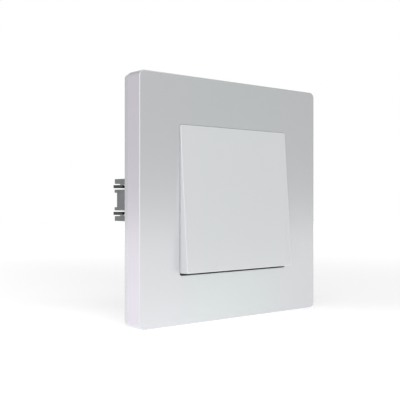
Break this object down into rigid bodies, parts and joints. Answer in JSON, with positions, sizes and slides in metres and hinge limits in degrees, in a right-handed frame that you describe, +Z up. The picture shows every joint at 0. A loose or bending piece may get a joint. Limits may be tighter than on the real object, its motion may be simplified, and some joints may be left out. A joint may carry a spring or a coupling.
{
  "type": "flush-mounted intermediate rocker switch",
  "caption": "Square flush-mounted intermediate light switch: pearl plastic cover frame, tilting rocker, steel support ring, claws and an insert with crossing contact strips.",
  "frame": {"origin": "centre of the box-screw pattern on the wall plane, at the rear face of the support ring", "axes": "+X to the right as seen from the room, +Y into the wall, +Z up"},
  "size_m": [0.083, 0.0397, 0.083],
  "materials": {
    "pearl_plastic": "smooth moulded, satin gloss with a pearly tint",
    "grey_plastic": "moulded, fine matt texture",
    "light_grey_plastic": "moulded, matt",
    "white_nylon": "moulded, slightly waxy",
    "button_plastic": "moulded, matt",
    "zinced_steel": "bright zinc plating",
    "claw_steel": "dull grey plated steel",
    "spring_steel": "bright drawn spring steel",
    "blackened_steel": "black oxide",
    "strip_brass": "rolled brass strip",
    "silver_contact": "silver alloy contact"
  },
  "bodies": {
    "insert": {"cover_frame": "pearl_plastic", "mechanism_cover": "light_grey_plastic", "support_ring": "zinced_steel", "ring_rivets": "zinced_steel", "base_housing": "grey_plastic", "fixed_contacts": "silver_contact", "cross_strip_flat": "strip_brass", "cross_strip_joggled": "strip_brass", "common_strip_left": "strip_brass", "claw_spring_left": "blackened_steel", "common_strip_right": "strip_brass", "claw_spring_right": "blackened_steel", "clamp_spring_top_left": "spring_steel", "clamp_spring_top_right": "spring_steel", "clamp_spring_bottom_left": "spring_steel", "clamp_spring_bottom_right": "spring_steel"},
    "rocker": {"rocker": "pearl_plastic", "rocker_carrier": "white_nylon", "plunger_spring_left": "spring_steel", "plunger_spring_right": "spring_steel"},
    "plunger_left": {"plunger_left": "white_nylon"},
    "lever_left": {"contact_lever_left": "strip_brass", "lever_contacts_left": "silver_contact"},
    "claw_left": {"claw_left": "claw_steel"},
    "claw_screw_left": {"claw_screw_left": "zinced_steel"},
    "claw_nut_left": {"claw_nut_left": "zinced_steel"},
    "plunger_right": {"plunger_right": "white_nylon"},
    "lever_right": {"contact_lever_right": "strip_brass", "lever_contacts_right": "silver_contact"},
    "claw_right": {"claw_right": "claw_steel"},
    "claw_screw_right": {"claw_screw_right": "zinced_steel"},
    "claw_nut_right": {"claw_nut_right": "zinced_steel"},
    "release_button_top_left": {"release_button_top_left": "button_plastic"},
    "release_button_top_right": {"release_button_top_right": "button_plastic"},
    "release_button_bottom_left": {"release_button_bottom_left": "button_plastic"},
    "release_button_bottom_right": {"release_button_bottom_right": "button_plastic"}
  },
  "joints": [
    {"name": "rocker_tilt", "type": "hinge", "parent": "insert", "child": "rocker", "pos_m": [0, -0.005, 0], "axis": [1, 0, 0], "range_deg": [0, 8.6]},
    {"name": "plunger_left_slide", "type": "slide", "parent": "rocker", "child": "plunger_left", "axis": [0, 0.9972, -0.075], "range_m": [-0.0012, 0], "stiffness_N_per_m": 600, "springref_m": 0.003, "deforming": ["plunger_spring_left"]},
    {"name": "lever_left_tip", "type": "hinge", "parent": "insert", "child": "lever_left", "pos_m": [-0.008, 0.01075, 0], "axis": [1, 0, 0], "range_deg": [-21.6, 0]},
    {"name": "claw_screw_left_turn", "type": "hinge", "parent": "insert", "child": "claw_screw_left", "pos_m": [-0.0236, 0, 0], "axis": [0, 1, 0], "range_deg": [0, 2880]},
    {"name": "claw_nut_left_travel", "type": "slide", "parent": "insert", "child": "claw_nut_left", "axis": [0, -1, 0], "range_m": [0, 0.004]},
    {"name": "claw_left_swing", "type": "hinge", "parent": "insert", "child": "claw_left", "pos_m": [-0.0252, 0.0013, 0], "axis": [0, 0, 1], "range_deg": [0, 12.5], "deforming": ["claw_spring_left"]},
    {"name": "plunger_right_slide", "type": "slide", "parent": "rocker", "child": "plunger_right", "axis": [0, 0.9972, -0.075], "range_m": [-0.0012, 0], "stiffness_N_per_m": 600, "springref_m": 0.003, "deforming": ["plunger_spring_right"]},
    {"name": "lever_right_tip", "type": "hinge", "parent": "insert", "child": "lever_right", "pos_m": [0.008, 0.01075, 0], "axis": [1, 0, 0], "range_deg": [-21.6, 0]},
    {"name": "claw_screw_right_turn", "type": "hinge", "parent": "insert", "child": "claw_screw_right", "pos_m": [0.0236, 0, 0], "axis": [0, 1, 0], "range_deg": [0, 2880]},
    {"name": "claw_nut_right_travel", "type": "slide", "parent": "insert", "child": "claw_nut_right", "axis": [0, -1, 0], "range_m": [0, 0.004]},
    {"name": "claw_right_swing", "type": "hinge", "parent": "insert", "child": "claw_right", "pos_m": [0.0252, 0.0013, 0], "axis": [0, 0, -1], "range_deg": [0, 12.5], "deforming": ["claw_spring_right"]},
    {"name": "release_button_top_left_press", "type": "slide", "parent": "insert", "child": "release_button_top_left", "axis": [0, -1, 0], "range_m": [0, 0.002], "stiffness_N_per_m": 500, "springref_m": -0.002, "deforming": ["clamp_spring_top_left"]},
    {"name": "release_button_top_right_press", "type": "slide", "parent": "insert", "child": "release_button_top_right", "axis": [0, -1, 0], "range_m": [0, 0.002], "stiffness_N_per_m": 500, "springref_m": -0.002, "deforming": ["clamp_spring_top_right"]},
    {"name": "release_button_bottom_left_press", "type": "slide", "parent": "insert", "child": "release_button_bottom_left", "axis": [0, -1, 0], "range_m": [0, 0.002], "stiffness_N_per_m": 500, "springref_m": -0.002, "deforming": ["clamp_spring_bottom_left"]},
    {"name": "release_button_bottom_right_press", "type": "slide", "parent": "insert", "child": "release_button_bottom_right", "axis": [0, -1, 0], "range_m": [0, 0.002], "stiffness_N_per_m": 500, "springref_m": -0.002, "deforming": ["clamp_spring_bottom_right"]}
  ],
  "couplings": [
    {"joint": "lever_left_tip", "follows": "rocker_tilt", "ratio": -2.5116},
    {"joint": "claw_screw_left_turn", "follows": "claw_nut_left_travel", "rad_per_m": 12566},
    {"joint": "claw_left_swing", "follows": "claw_nut_left_travel", "rad_per_m": 54.542},
    {"joint": "lever_right_tip", "follows": "rocker_tilt", "ratio": -2.5116},
    {"joint": "claw_screw_right_turn", "follows": "claw_nut_right_travel", "rad_per_m": 12566},
    {"joint": "claw_right_swing", "follows": "claw_nut_right_travel", "rad_per_m": 54.542}
  ]
}
